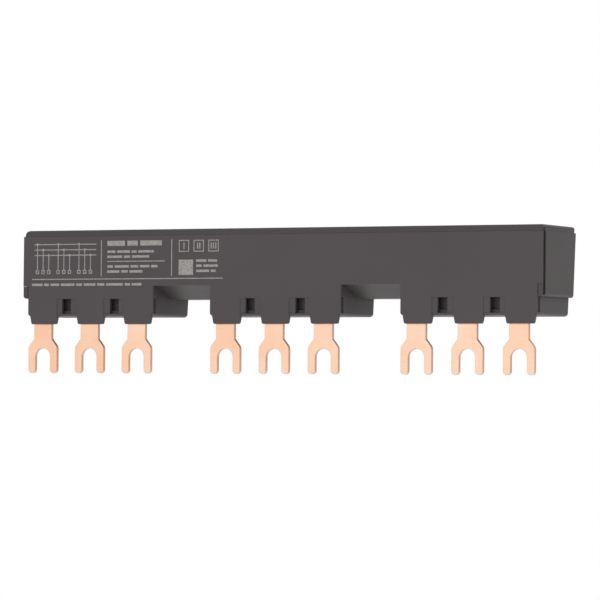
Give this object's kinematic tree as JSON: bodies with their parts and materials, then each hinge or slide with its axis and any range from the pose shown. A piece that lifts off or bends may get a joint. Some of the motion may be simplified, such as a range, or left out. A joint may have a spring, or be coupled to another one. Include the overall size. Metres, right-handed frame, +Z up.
{
  "type": "comb busbar",
  "caption": "Three-phase comb busbar: a long dark moulded housing with three copper bars inside, whose fork tongues leave downwards in groups, one group for each motor-protective breaker.",
  "frame": {"origin": "the screw axis of the middle fork of the middle group, halfway through the copper", "axes": "+X along the row of forks, -Y out of the printed face, +Z up, so that the forks point down"},
  "size_m": [0.1483, 0.0198, 0.0369],
  "materials": {
    "cover": "dark grey moulded polyamide with a fine spark-eroded grain",
    "housing": "dark grey moulded polyamide with a fine spark-eroded grain",
    "copper": "bare rolled copper, satin, stamped edges",
    "separator": "grey moulded plastic"
  },
  "bodies": {
    "root": {"front_cover": "cover", "rear_housing": "housing", "busbar_l1": "copper", "busbar_l2": "copper", "busbar_l3": "copper", "insulator_l1_l2": "separator", "insulator_l2_l3": "separator"}
  },
  "joints": []
}
